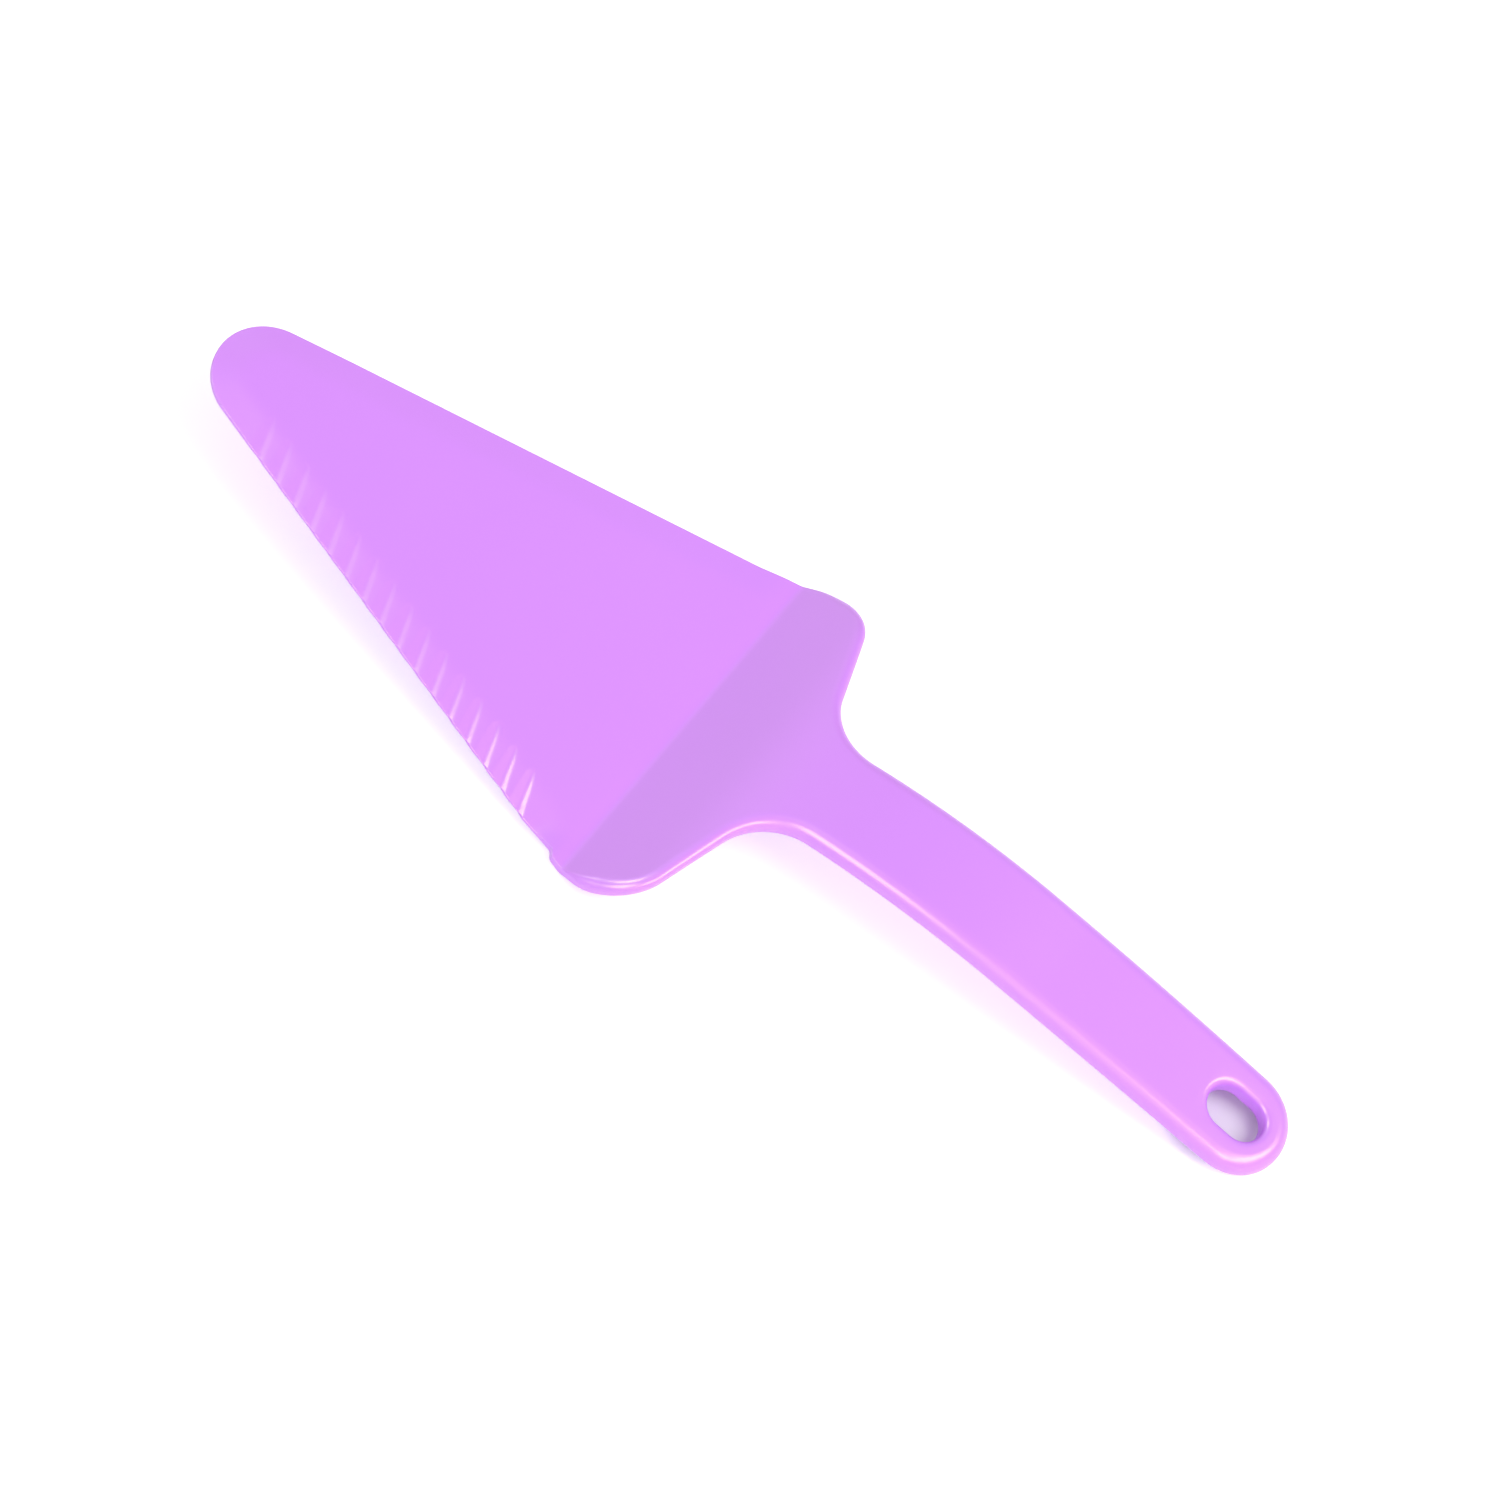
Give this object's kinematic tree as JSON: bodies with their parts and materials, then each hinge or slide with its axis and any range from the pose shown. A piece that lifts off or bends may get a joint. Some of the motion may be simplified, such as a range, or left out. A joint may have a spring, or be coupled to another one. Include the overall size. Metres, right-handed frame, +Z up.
{
  "type": "cake server",
  "caption": "Lilac moulded plastic cake server: flat tapered blade with a serrated edge, raised shoulder, and gently arched handle with a hang slot at its end.",
  "frame": {"origin": "middle of the object's footprint, on the surface it rests on", "axes": "+X from the blade's tip towards the handle's end, +Z up, serrated edge towards -Y. The object leans back on its heel and its handle end, so the blade rises towards the tip"},
  "size_m": [0.2338, 0.0772, 0.016],
  "materials": {
    "lilac_plastic": "semi-gloss moulded plastic, evenly coloured"
  },
  "bodies": {
    "root": {"blade": "lilac_plastic", "serrated_edge": "lilac_plastic", "shoulder": "lilac_plastic", "handle": "lilac_plastic", "hang_eye": "lilac_plastic"}
  },
  "joints": []
}
